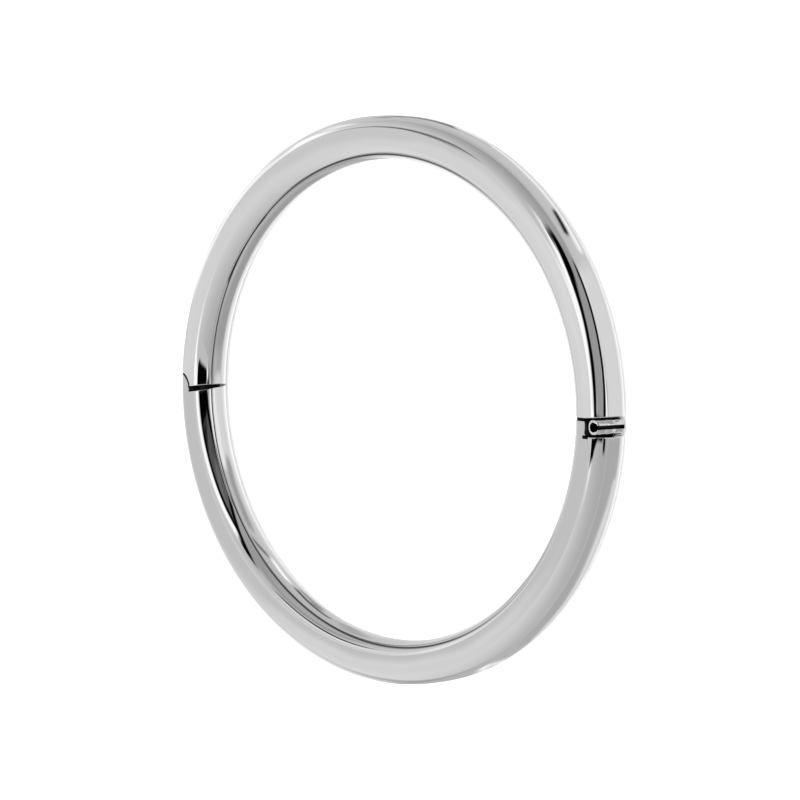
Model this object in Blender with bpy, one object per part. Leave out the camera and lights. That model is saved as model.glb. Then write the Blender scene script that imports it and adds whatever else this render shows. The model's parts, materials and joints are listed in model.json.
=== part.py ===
"""Oval hinged bangle: two hollow half hoops, a three-knuckle hinge and a tongue clasp.

Frame: metres, +Z up. The bangle lies on its back face at z = 0, with the wrist axis along Z.
The hinge is at +X and the clasp at -X. The upper half is the one at +Y, and it turns on the hinge pin.
"""

import math

import bmesh
import bpy

# Inside of the hoop, hinge to clasp and across
INNER_LENGTH = 0.0600
INNER_BREADTH = 0.0494

# Band: how far it stands out from the wrist, its width along the wrist, and its rounded edges
BAND_THICKNESS = 0.0045
BAND_WIDTH = 0.0040
OUTER_EDGE_RADIUS = 0.00125
INNER_EDGE_RADIUS = 0.00145
TUBE_WALL = 0.0005

# Parting at the hinge: its level and the gap between the two halves
HINGE_PARTING_Y = -0.00015
HINGE_GAP = 0.00028
HINGE_BLOCK_DEPTH = 0.0040

# How much higher the upper half's end face is at its outer wall, to clear the barrel
HINGE_RISE = 0.00016

# Hinge barrel: its place in from the outer surface, the pin sunk in it, and the seam of the rolled knuckles
PIN_INSET = 0.0012
PIN_RADIUS = 0.00040
PIN_CLEARANCE = 0.00005
PIN_SUNK = 0.00020
PIN_DOME = 0.00012
KNUCKLE_RADIUS = 0.00080
KNUCKLE_SEAM = 0.00040
KNUCKLE_COUNT = 3
KNUCKLE_SIDE_GAP = 0.00008
KNUCKLE_CLEARANCE = 0.00005
KNUCKLE_WEB_WIDTH = 0.0005
KNUCKLE_ROOT = 0.0006
BARREL_END_INSET = 0.00025

# Notch of the lower half that the barrel lies in, with a small relief groove in its corner
NOTCH_SIDE_GAP = 0.00020
NOTCH_FLOOR_GAP = 0.00016
RELIEF_REACH = 0.00030
RELIEF_WIDTH = 0.00080
RELIEF_DEPTH = 0.00020
RELIEF_HEIGHT = 0.00036

# Parting at the clasp: its level, its lean towards the wrist, and the gap, which is a wedge
CLASP_PARTING_Y = -0.00033
CLASP_LEAN = math.radians(6.5)
CLASP_GAP_FRONT = 0.00056
CLASP_GAP_BACK = 0.00010
CLASP_BLOCK_DEPTH = 0.0032

# Rounded tab of the lower half at the clasp, which seats in a scoop of the upper half
TAB_HEIGHT = 0.00175
TAB_GAP = 0.00024
SCOOP_WALL = 0.00030

# Hidden tongue that holds the clasp closed
TONGUE_THICKNESS = 0.0009
TONGUE_WIDTH = 0.0022
TONGUE_REACH = 0.0026
TONGUE_ROOT = 0.0029
TONGUE_TRAVEL_GAP = 0.00020
TONGUE_SEAT_GAP = 0.00006
SLOT_WALL = 0.0006

# Facets
EDGE_FACETS = 5
SKIN_STATIONS = 56
CAVITY_EDGE_FACETS = 2
CAVITY_STATIONS = 36
BARREL_SIDES = 28
PIN_DOME_FACETS = 3
TAB_SIDES = 64

# How far a cutter runs past what it cuts
CUT_OVER = 0.002

# Headings of the knuckle webs: to the upper half's end face, and to the notch's side wall
UP = math.radians(90)
INWARD = math.radians(180)

# Worked out from the sizes above
CENTRE_A = (INNER_LENGTH + BAND_THICKNESS) / 2
CENTRE_B = (INNER_BREADTH + BAND_THICKNESS) / 2
MID_Z = BAND_WIDTH / 2
OUTER_X = INNER_LENGTH / 2 + BAND_THICKNESS
UPPER_HINGE_Y = HINGE_PARTING_Y + HINGE_GAP / 2
LOWER_HINGE_Y = HINGE_PARTING_Y - HINGE_GAP / 2
PIN_X = OUTER_X - PIN_INSET
PIN_Y = UPPER_HINGE_Y - KNUCKLE_CLEARANCE - KNUCKLE_RADIUS
BARREL_LENGTH = BAND_WIDTH - 2 * BARREL_END_INSET
NOTCH_X = PIN_X - KNUCKLE_RADIUS - NOTCH_SIDE_GAP
NOTCH_Y = PIN_Y - KNUCKLE_RADIUS - NOTCH_FLOOR_GAP
CLASP_GAP_MIDDLE = (CLASP_GAP_FRONT + CLASP_GAP_BACK) / 2
SLOT_THICKNESS = TONGUE_THICKNESS + 2 * TONGUE_TRAVEL_GAP
TONGUE_X = -INNER_LENGTH / 2 - SLOT_WALL - SLOT_THICKNESS / 2
TAB_DEPTH = BAND_THICKNESS - SLOT_WALL - SLOT_THICKNESS - SCOOP_WALL - TAB_GAP


def clear_scene():
    for item in list(bpy.data.objects):
        bpy.data.objects.remove(item, do_unlink=True)


def silver(name):
    """Polished silver, a material for each piece."""
    material = bpy.data.materials.new(name)
    material.use_nodes = True
    shader = material.node_tree.nodes["Principled BSDF"]
    shader.inputs["Base Color"].default_value = (0.87, 0.87, 0.86, 1.0)
    shader.inputs["Metallic"].default_value = 1.0
    shader.inputs["Roughness"].default_value = 0.08
    return material


def add_object(name, bm, origin=(0.0, 0.0, 0.0), cutter=False):
    """Make an object of a mesh given in world coordinates, with its origin at the given place."""
    bmesh.ops.translate(bm, verts=bm.verts, vec=[-value for value in origin])
    bmesh.ops.recalc_face_normals(bm, faces=bm.faces)
    mesh = bpy.data.meshes.new(name)
    bm.to_mesh(mesh)
    bm.free()
    item = bpy.data.objects.new(name, mesh)
    item.location = origin
    bpy.context.scene.collection.objects.link(item)
    if cutter:
        item.hide_render = True
        item.display_type = "WIRE"
    else:
        mesh.shade_smooth()
        mesh.set_sharp_from_angle(angle=math.radians(35))
        mesh.materials.append(silver(name + "_silver"))
    return item


def combine(item, tool, operation):
    """Cut a tool out of an item, or join the tool to it."""
    modifier = item.modifiers.new(tool.name, "BOOLEAN")
    modifier.operation = operation
    modifier.solver = "EXACT"
    modifier.object = tool


def band_outline(inset, facets):
    """Closed outline of the band's section, inset from its surface: pairs of out and along."""
    half_out = BAND_THICKNESS / 2 - inset
    half_along = BAND_WIDTH / 2 - inset
    widest = min(half_out, half_along)
    outer = min(max(OUTER_EDGE_RADIUS - inset, inset), widest)
    inner = min(max(INNER_EDGE_RADIUS - inset, inset), widest)
    corners = (
        (half_out - outer, half_along - outer, outer, 0.0),
        (inner - half_out, half_along - inner, inner, 90.0),
        (inner - half_out, inner - half_along, inner, 180.0),
        (half_out - outer, outer - half_along, outer, 270.0),
    )
    points = []
    for out, along, radius, start in corners:
        for step in range(facets + 1):
            angle = math.radians(start + 90.0 * step / facets)
            points.append((out + radius * math.cos(angle), along + radius * math.sin(angle)))
    return points


def section_at(outline, turn):
    """The outline placed square to the oval centre line, turn radians round it from the hinge."""
    centre_x = CENTRE_A * math.cos(turn)
    centre_y = CENTRE_B * math.sin(turn)
    out_x = math.cos(turn) / CENTRE_A
    out_y = math.sin(turn) / CENTRE_B
    length = math.hypot(out_x, out_y)
    out_x /= length
    out_y /= length
    return [(centre_x + out * out_x, centre_y + out * out_y, MID_Z + along) for out, along in outline]


def turn_at_hinge(level):
    """How far round the oval the centre line crosses a level y at the hinge end."""
    return math.asin(level / CENTRE_B)


def turn_at_clasp(level):
    """The same at the clasp end, counted on through the upper half."""
    return math.pi - math.asin(level / CENTRE_B)


def sweep(outline, start, end, stations):
    """Solid of the section carried round the oval from one turn to another."""
    bm = bmesh.new()
    rings = []
    for step in range(stations + 1):
        turn = start + (end - start) * step / stations
        rings.append([bm.verts.new(point) for point in section_at(outline, turn)])
    for ring, following in zip(rings, rings[1:]):
        for index in range(len(outline)):
            after = (index + 1) % len(outline)
            bm.faces.new((ring[index], ring[after], following[after], following[index]))
    bm.faces.new(reversed(rings[0]))
    bm.faces.new(rings[-1])
    return bm


def box(low, high):
    """Box between two corners."""
    bm = bmesh.new()
    bmesh.ops.create_cube(bm, size=1.0)
    bmesh.ops.scale(bm, verts=bm.verts, vec=[b - a for a, b in zip(low, high)])
    bmesh.ops.translate(bm, verts=bm.verts, vec=[(a + b) / 2 for a, b in zip(low, high)])
    return bm


def extrude_outline(points, low_z, high_z):
    """Upright solid of an outline in X and Y."""
    bm = bmesh.new()
    base = bm.faces.new([bm.verts.new((x, y, low_z)) for x, y in points])
    raised = bmesh.ops.extrude_face_region(bm, geom=[base])
    moved = [part for part in raised["geom"] if isinstance(part, bmesh.types.BMVert)]
    bmesh.ops.translate(bm, verts=moved, vec=(0.0, 0.0, high_z - low_z))
    return bm


def ellipse_outline(centre_x, centre_y, radius_x, radius_y, sides):
    angles = [2 * math.pi * step / sides for step in range(sides)]
    return [(centre_x + radius_x * math.cos(a), centre_y + radius_y * math.sin(a)) for a in angles]


def clasp_level(x, z, half_gap_share):
    """Height y of a clasp face over a place in X and Z. The share is 1 for the upper, -1 for the lower."""
    lean = math.tan(CLASP_LEAN) * (x + CENTRE_A)
    if half_gap_share > 0:
        return CLASP_PARTING_Y + CLASP_GAP_MIDDLE / 2 + lean
    wedge = (CLASP_GAP_FRONT - CLASP_GAP_BACK) * (z / BAND_WIDTH - 0.5)
    return CLASP_PARTING_Y - CLASP_GAP_MIDDLE / 2 + lean - wedge


def clasp_block(half_gap_share, far_y):
    """Block between a clasp face and a level far_y, wider than the band on every side."""
    low_x = -OUTER_X - CUT_OVER
    high_x = -INNER_LENGTH / 2 + CUT_OVER
    bm = bmesh.new()
    bmesh.ops.create_cube(bm, size=1.0)
    for vert in bm.verts:
        x = low_x if vert.co.x < 0 else high_x
        z = -CUT_OVER if vert.co.z < 0 else BAND_WIDTH + CUT_OVER
        on_face = (vert.co.y < 0) == (far_y > CLASP_PARTING_Y)
        y = clasp_level(x, z, half_gap_share) if on_face else far_y
        vert.co = (x, y, z)
    return bm


def tab_form(name, extra):
    """Upright oval solid of the clasp tab, larger all round by the extra given."""
    centre_y = CLASP_PARTING_Y - CLASP_GAP_MIDDLE / 2
    outline = ellipse_outline(-OUTER_X, centre_y, TAB_DEPTH + extra, TAB_HEIGHT + extra, TAB_SIDES)
    low_z = -CUT_OVER * (2 + extra / TAB_GAP)
    high_z = BAND_WIDTH - low_z
    return add_object(name, extrude_outline(outline, low_z, high_z), cutter=True)


def cavity(name, start, end):
    """Hollow of the tube between two turns."""
    bm = sweep(band_outline(TUBE_WALL, CAVITY_EDGE_FACETS), start, end, CAVITY_STATIONS)
    return add_object(name, bm, cutter=True)


def tongue_slot(name, gap, low_y, high_y):
    """Slot of the tongue, wider than it by the gap on every side."""
    half_x = TONGUE_THICKNESS / 2 + gap
    half_z = TONGUE_WIDTH / 2 + gap
    low = (TONGUE_X - half_x, low_y, MID_Z - half_z)
    high = (TONGUE_X + half_x, high_y, MID_Z + half_z)
    return add_object(name, box(low, high), cutter=True)


def knuckle_span(index):
    """Lowest and highest z of a knuckle, counted from the back."""
    pitch = (BARREL_LENGTH + KNUCKLE_SIDE_GAP) / KNUCKLE_COUNT
    low = BARREL_END_INSET + pitch * index
    return low, low + pitch - KNUCKLE_SIDE_GAP


def knuckle(name, index, heading, reach):
    """A knuckle and the narrow web that ties it to its half, out along a heading to a reach from the pin."""
    half_web = KNUCKLE_WEB_WIDTH / 2
    open_angle = math.asin(half_web / KNUCKLE_RADIUS)
    outline = []
    for step in range(BARREL_SIDES + 1):
        angle = open_angle + (2 * math.pi - 2 * open_angle) * step / BARREL_SIDES
        outline.append((KNUCKLE_RADIUS * math.cos(angle), KNUCKLE_RADIUS * math.sin(angle)))
    outline.append((reach, -half_web))
    outline.append((reach, half_web))
    cos_heading = math.cos(heading)
    sin_heading = math.sin(heading)
    points = []
    for ahead, aside in outline:
        x = PIN_X + ahead * cos_heading - aside * sin_heading
        y = PIN_Y + ahead * sin_heading + aside * cos_heading
        points.append((x, y))
    low_z, high_z = knuckle_span(index)
    return add_object(name, extrude_outline(points, low_z, high_z), cutter=True)


def pin_hole(name):
    radius = PIN_RADIUS + PIN_CLEARANCE
    outline = ellipse_outline(PIN_X, PIN_Y, radius, radius, BARREL_SIDES)
    return add_object(name, extrude_outline(outline, -CUT_OVER, BAND_WIDTH + CUT_OVER), cutter=True)


def seam(name):
    """Slot along the outer side of the barrel, where the rolled knuckles are left open."""
    low = (PIN_X, PIN_Y - KNUCKLE_SEAM / 2, -CUT_OVER)
    high = (OUTER_X + CUT_OVER, PIN_Y + KNUCKLE_SEAM / 2, BAND_WIDTH + CUT_OVER)
    return add_object(name, box(low, high), cutter=True)


def hinge_rise(name):
    """Wedge that lifts the upper half's end face towards the outer wall, clear of the barrel."""
    slope = HINGE_RISE / (OUTER_X - NOTCH_X)
    low_x = NOTCH_X - CUT_OVER
    high_x = OUTER_X + CUT_OVER
    below = UPPER_HINGE_Y - CUT_OVER
    points = (
        (low_x, UPPER_HINGE_Y - slope * CUT_OVER),
        (low_x, below),
        (high_x, below),
        (high_x, UPPER_HINGE_Y + HINGE_RISE + slope * CUT_OVER),
    )
    return add_object(name, extrude_outline(points, -CUT_OVER, BAND_WIDTH + CUT_OVER), cutter=True)


def make_upper_half():
    """Upper half hoop. It turns on the pin, so its origin is on the pin's axis."""
    start = turn_at_hinge(UPPER_HINGE_Y)
    end = turn_at_clasp(CLASP_PARTING_Y - CUT_OVER)
    skin = sweep(band_outline(0.0, EDGE_FACETS), start, end, SKIN_STATIONS)
    for vert in skin.verts:
        if vert.co.x > 0 and vert.co.y < UPPER_HINGE_Y + HINGE_GAP:
            vert.co.y = UPPER_HINGE_Y
    upper = add_object("upper_half", skin, origin=(PIN_X, PIN_Y, MID_Z))
    hollow_start = turn_at_hinge(UPPER_HINGE_Y + HINGE_BLOCK_DEPTH)
    hollow_end = turn_at_clasp(CLASP_PARTING_Y + CLASP_BLOCK_DEPTH)
    combine(upper, cavity("upper_hollow_cutter", hollow_start, hollow_end), "DIFFERENCE")
    end_block = clasp_block(1, CLASP_PARTING_Y - 3 * CUT_OVER)
    combine(upper, add_object("upper_clasp_cutter", end_block, cutter=True), "DIFFERENCE")
    combine(upper, tab_form("scoop_cutter", TAB_GAP), "DIFFERENCE")
    slot_top = CLASP_PARTING_Y + CLASP_BLOCK_DEPTH + CUT_OVER / 2
    slot = tongue_slot("upper_slot_cutter", TONGUE_TRAVEL_GAP, CLASP_PARTING_Y - CUT_OVER, slot_top)
    combine(upper, slot, "DIFFERENCE")
    combine(upper, hinge_rise("hinge_rise_cutter"), "DIFFERENCE")
    for index in range(0, KNUCKLE_COUNT, 2):
        joined = knuckle("upper_knuckle_%d" % index, index, UP, UPPER_HINGE_Y - PIN_Y + KNUCKLE_ROOT)
        combine(upper, joined, "UNION")
    combine(upper, pin_hole("upper_pin_hole_cutter"), "DIFFERENCE")
    combine(upper, seam("upper_seam_cutter"), "DIFFERENCE")
    return upper


def make_lower_half():
    """Lower half hoop, which carries the middle knuckle, the notch for the barrel and the clasp tab."""
    clasp_top = CLASP_PARTING_Y + TAB_HEIGHT + CUT_OVER
    start = turn_at_clasp(clasp_top)
    end = 2 * math.pi + turn_at_hinge(LOWER_HINGE_Y)
    skin = sweep(band_outline(0.0, EDGE_FACETS), start, end, SKIN_STATIONS)
    for vert in skin.verts:
        if vert.co.x > 0 and vert.co.y > LOWER_HINGE_Y - HINGE_GAP:
            vert.co.y = LOWER_HINGE_Y
    lower = add_object("lower_half", skin)
    hollow_start = turn_at_clasp(CLASP_PARTING_Y - CLASP_BLOCK_DEPTH)
    hollow_end = 2 * math.pi + turn_at_hinge(LOWER_HINGE_Y - HINGE_BLOCK_DEPTH)
    combine(lower, cavity("lower_hollow_cutter", hollow_start, hollow_end), "DIFFERENCE")
    end_block = clasp_block(-1, clasp_top + CUT_OVER)
    end_cutter = add_object("lower_clasp_cutter", end_block, cutter=True)
    combine(end_cutter, tab_form("tab_keeper", 0.0), "DIFFERENCE")
    combine(lower, end_cutter, "DIFFERENCE")
    slot_bottom = CLASP_PARTING_Y - CLASP_BLOCK_DEPTH - CUT_OVER / 2
    slot = tongue_slot("lower_slot_cutter", TONGUE_SEAT_GAP, slot_bottom, CLASP_PARTING_Y + CUT_OVER / 2)
    combine(lower, slot, "DIFFERENCE")
    notch = box((NOTCH_X, NOTCH_Y, -CUT_OVER), (OUTER_X + CUT_OVER, CUT_OVER, BAND_WIDTH + CUT_OVER))
    combine(lower, add_object("notch_cutter", notch, cutter=True), "DIFFERENCE")
    relief_low = (NOTCH_X - RELIEF_REACH, NOTCH_Y - RELIEF_DEPTH, -2 * CUT_OVER)
    relief_high = (
        relief_low[0] + RELIEF_WIDTH,
        relief_low[1] + RELIEF_HEIGHT,
        BAND_WIDTH + 2 * CUT_OVER,
    )
    combine(lower, add_object("relief_cutter", box(relief_low, relief_high), cutter=True), "DIFFERENCE")
    for index in range(1, KNUCKLE_COUNT, 2):
        joined = knuckle("lower_knuckle_%d" % index, index, INWARD, PIN_X - NOTCH_X + KNUCKLE_ROOT)
        combine(lower, joined, "UNION")
    combine(lower, pin_hole("lower_pin_hole_cutter"), "DIFFERENCE")
    combine(lower, seam("lower_seam_cutter"), "DIFFERENCE")
    return lower


def make_pin():
    """Hinge pin, a turned rod with softly domed ends, sunk a little in the barrel."""
    half_length = BARREL_LENGTH / 2 - PIN_SUNK
    profile = []
    for step in range(PIN_DOME_FACETS + 1):
        angle = math.pi / 2 * step / PIN_DOME_FACETS
        profile.append((PIN_RADIUS * math.sin(angle), half_length - PIN_DOME * (1 - math.cos(angle))))
    lower_side = [(radius, -height) for radius, height in reversed(profile)]
    bm = bmesh.new()
    verts = [bm.verts.new((radius, 0.0, height)) for radius, height in profile + lower_side]
    edges = [bm.edges.new(pair) for pair in zip(verts, verts[1:])]
    bmesh.ops.spin(
        bm,
        geom=verts + edges,
        cent=(0, 0, 0),
        axis=(0, 0, 1),
        angle=2 * math.pi,
        steps=BARREL_SIDES,
        use_merge=True,
    )
    bmesh.ops.remove_doubles(bm, verts=bm.verts, dist=0.000001)
    bmesh.ops.translate(bm, verts=bm.verts, vec=(PIN_X, PIN_Y, MID_Z))
    return add_object("hinge_pin", bm, origin=(PIN_X, PIN_Y, MID_Z))


def make_tongue():
    """Plain hidden tongue, seated in the lower half and reaching into the slot of the upper half."""
    half_x = TONGUE_THICKNESS / 2
    half_z = TONGUE_WIDTH / 2
    low = (TONGUE_X - half_x, CLASP_PARTING_Y - TONGUE_ROOT, MID_Z - half_z)
    high = (TONGUE_X + half_x, CLASP_PARTING_Y + TONGUE_REACH, MID_Z + half_z)
    return add_object("clasp_tongue", box(low, high))


def main():
    clear_scene()
    make_upper_half()
    make_lower_half()
    make_pin()
    make_tongue()


main()
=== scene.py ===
"""The looks of the hinged oval bangle: mirror-polished silver in a pale studio.

Lengths are metres, +Z up. The bangle lies on its back face, with the hinge at +X and the clasp at -X.
The upper half is the one at +Y.
"""

import json
import math

import bmesh
import bpy
import numpy as np
from mathutils import Matrix, Vector


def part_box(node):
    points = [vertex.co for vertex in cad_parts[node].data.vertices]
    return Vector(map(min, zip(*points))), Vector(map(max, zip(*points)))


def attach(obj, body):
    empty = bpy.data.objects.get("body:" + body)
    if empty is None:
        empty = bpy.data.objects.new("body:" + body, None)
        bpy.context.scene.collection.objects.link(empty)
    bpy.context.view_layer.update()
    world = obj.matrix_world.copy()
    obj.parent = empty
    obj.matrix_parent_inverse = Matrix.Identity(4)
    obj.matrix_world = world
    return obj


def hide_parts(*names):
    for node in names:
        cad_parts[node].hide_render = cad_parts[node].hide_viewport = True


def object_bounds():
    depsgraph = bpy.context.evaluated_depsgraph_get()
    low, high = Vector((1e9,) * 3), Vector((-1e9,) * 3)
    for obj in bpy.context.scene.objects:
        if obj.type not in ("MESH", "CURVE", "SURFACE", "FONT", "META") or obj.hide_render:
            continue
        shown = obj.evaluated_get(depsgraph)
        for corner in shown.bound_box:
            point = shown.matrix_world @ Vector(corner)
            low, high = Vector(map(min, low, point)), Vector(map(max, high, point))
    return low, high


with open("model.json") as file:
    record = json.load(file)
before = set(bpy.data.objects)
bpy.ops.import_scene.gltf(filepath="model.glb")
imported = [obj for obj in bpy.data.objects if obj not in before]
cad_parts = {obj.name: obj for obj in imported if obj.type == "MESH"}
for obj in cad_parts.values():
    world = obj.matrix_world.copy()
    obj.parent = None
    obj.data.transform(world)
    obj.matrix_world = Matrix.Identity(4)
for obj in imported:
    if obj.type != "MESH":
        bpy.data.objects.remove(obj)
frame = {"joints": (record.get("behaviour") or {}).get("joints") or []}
cad_low, cad_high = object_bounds()

# Band, from the frame's box and the thickness of the band
BAND_THICKNESS = 0.0045
BAND_WIDTH = cad_high.z - cad_low.z
OUTER_X = cad_high.x
OUTER_Y = cad_high.y
OUTER_EDGE_RADIUS = 0.00125
INNER_EDGE_RADIUS = 0.00145
MID_Z = (cad_low.z + cad_high.z) / 2
MARGIN = 0.000006
HALF_OUT = BAND_THICKNESS / 2 - MARGIN
HALF_ALONG = BAND_WIDTH / 2 - MARGIN
CENTRE_A = OUTER_X - BAND_THICKNESS / 2
CENTRE_B = OUTER_Y - BAND_THICKNESS / 2

# Slight bulge of the faces, as the turn of the surface from a face's middle to its edge
OUTER_CROWN = math.radians(3)
FRONT_CROWN = math.radians(1.5)
INNER_CROWN = math.radians(6)

# Hand-finished unevenness: the section turns a little as it goes round (amount, times round, start)
WOBBLES = (
    (math.radians(0.30), 2, 0.4),
    (math.radians(0.25), 5, 1.9),
    (math.radians(0.18), 11, 0.8),
    (math.radians(0.12), 23, 2.6),
)

# Hinge: the pin is on the joint's axis, and the upper end face rises on its way out, beside the barrel
PIN_X, PIN_Y = frame["joints"][0]["pos_m"][:2]
PIN_RADIUS = 0.00040
PIN_SUNK = 0.00020
PIN_DOME = 0.00012
HINGE_PARTING_Y = -0.00015
HINGE_GAP = 0.00028
UPPER_HINGE_Y = HINGE_PARTING_Y + HINGE_GAP / 2
LOWER_HINGE_Y = HINGE_PARTING_Y - HINGE_GAP / 2
HINGE_RISE = 0.00016

# Barrel of rolled knuckles, with a seam on their outer side. Its two rims are rounded more than the joints
BARREL_END_INSET = 0.00025
KNUCKLE_RADIUS = 0.00080
KNUCKLE_BORE = 0.00044
KNUCKLE_COUNT = 3
KNUCKLE_JOINT = 0.00001
KNUCKLE_SEAM = 0.00040
KNUCKLE_RIM = 0.00015
KNUCKLE_EASE = 0.00001

# Webs from the knuckles into the halves: start from the pin's axis, depth in the half, width and end inset
WEB_ROOT = 0.00070
WEB_DEPTH = 0.0006
WEB_WIDTH = 0.0005
WEB_INSET = 0.00035

# Stop pads: how far in from the walls they stay, and how far they reach on both sides of the end face
STOP_INSET = 0.00012
STOP_RISE = 0.00012

# Notch of the lower half that the barrel lies in, with a relief groove in its corner
NOTCH_SIDE_GAP = 0.00020
NOTCH_FLOOR_GAP = 0.00016
NOTCH_X = PIN_X - KNUCKLE_RADIUS - NOTCH_SIDE_GAP
NOTCH_Y = PIN_Y - KNUCKLE_RADIUS - NOTCH_FLOOR_GAP
RELIEF_REACH = 0.00030
RELIEF_WIDTH = 0.00080
RELIEF_DEPTH = 0.00020
RELIEF_HEIGHT = 0.00036

# The end faces at the hinge are polished from this far beyond the pin's axis outwards
POLISH_START = 0.00035

# Clasp: the parting leans, with a gap that is wider at the front. The lower half's oval tab lies in a scoop
# of the upper half, and the tongue in a slot of it
CLASP_PARTING_Y = -0.00033
CLASP_LEAN = math.radians(6.5)
CLASP_GAP_FRONT = 0.00056
CLASP_GAP_BACK = 0.00010
CLASP_GAP_MIDDLE = (CLASP_GAP_FRONT + CLASP_GAP_BACK) / 2
TAB_HEIGHT = 0.00175
TAB_DEPTH = 0.00206
TAB_GAP = 0.00024
TONGUE_EASE = 0.00012
SLOT_GAP = 0.00020
SLOT_DEPTH = 0.0040

# Fineness of the surfaces
CURVE_STEPS = 200
COLUMNS = (6, 20, 12, 20, 6)
STATIONS = 400
BLEND_STATIONS = 30
ROUND_SIDES = 96
DOME_STEPS = 8
SHARP_ANGLE = math.radians(40)

# Eased edges: size and steps, the most times longer on steep faces, and the share of it round bores
EASE = 0.00008
EASE_STEPS = 4
TONGUE_EASE_STEPS = 3
STEEPEST_EASE = 3.0
HOLLOW_EASE = 0.3

# What counts as on the skin, how far a cut goes past the surface, and a drop that clears everything
ON_SKIN = 0.0000005
CUT_OVER = 0.001
FAR_BELOW = 1.0

# Rounds that the two searches along the centre line take to settle
LEVEL_ROUNDS = 12
NEAREST_ROUNDS = 8

# Extra lines of mesh beside the edge of the tab and its scoop: close ones, then wider and wider steps
SCOOP_LINES = (-0.0004, -0.0002, 0.0, 0.00002, 0.00006)
TAB_LINES = (-0.0004, -0.0002, 0.0, 0.00002)
WIDER_STEP = 0.00012
WIDER_GROWTH = 1.25
WIDER_LINES = 5

# Order of the band's materials
SKIN = 0
CUT_FACE = 1
INSIDE = 2

# Polished silver, with a haze where the buffing wheel left it a little rougher
SILVER_GREY = 0.90
HAZE_SCALE = 260.0
HAZE_DETAIL = 3.0
HAZE_SPREAD = (0.3, 0.7)
POLISH_ROUGHNESS = (0.01, 0.04)

# Tarnish and painted shade: near-black colours that stand in for the shade in the gaps and on the end faces,
# with their darkest and palest patches mottled like tarnish
TARNISH_SCALE = 1800.0
TARNISH_TINT = (1.0, 0.93, 0.87)
TARNISH_ROUGHNESS = 0.6
TARNISH_SPECULAR = 0.02
GAP_TARNISH_AND_PAINTED_SHADE = (0.0008, 0.009)
END_FACE_TARNISH_AND_PAINTED_SHADE = (0.001, 0.015)

# Camera: how the photograph turns the bangle's own axes, its distance and its framing
VIEW_TURN = math.radians(-51.0)
VIEW_TILT = math.radians(3.853)
VIEW_ROLL = math.radians(-0.059)
VIEW_DISTANCE = 0.4616
VIEW_ASIDE = Vector((-0.000913, 0.000024))
SENSOR_WIDTH = 36.0
LENS = 202.2
CLIP_START = 0.01
CLIP_END = 20.0

# Floor, and the light on it and on whatever is not polished
FLOOR_RADIUS = 3.0
FLOOR_SIDES = 96
FLOOR_GREY = 0.88
FLOOR_ROUGHNESS = 0.9
EVEN_LIGHT = 3.0

# Light tents that the silver mirrors, one for each half, with a paler backdrop beyond an oval rim. Places
# on them are degrees to the right of and above the photograph's viewpoint, wherever the camera stands.
TENT_RADII = (5.0, 5.3)
TENT_SIDES = 64
TENT_MIDDLE = (-23, -4)
TENT_REACH = (90, 110)
TENT_RIM = (0.99, 1.05)
FAR_AWAY = 1000.0
TINY = 1e-8

# Shade of tent and backdrop: the even part, its slopes across and up, and its curves across, both ways and
# up, to a unit of degrees
TENT_WASH = (0.455, -0.122, -0.086, 0.111, 0.051, -0.017)
BACKDROP_WASH = (0.352, 0.098, 0.049, 0.286, -0.051, 0.077)
WASH_UNIT = 100
DIMMEST_WASH = 0.05

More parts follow.
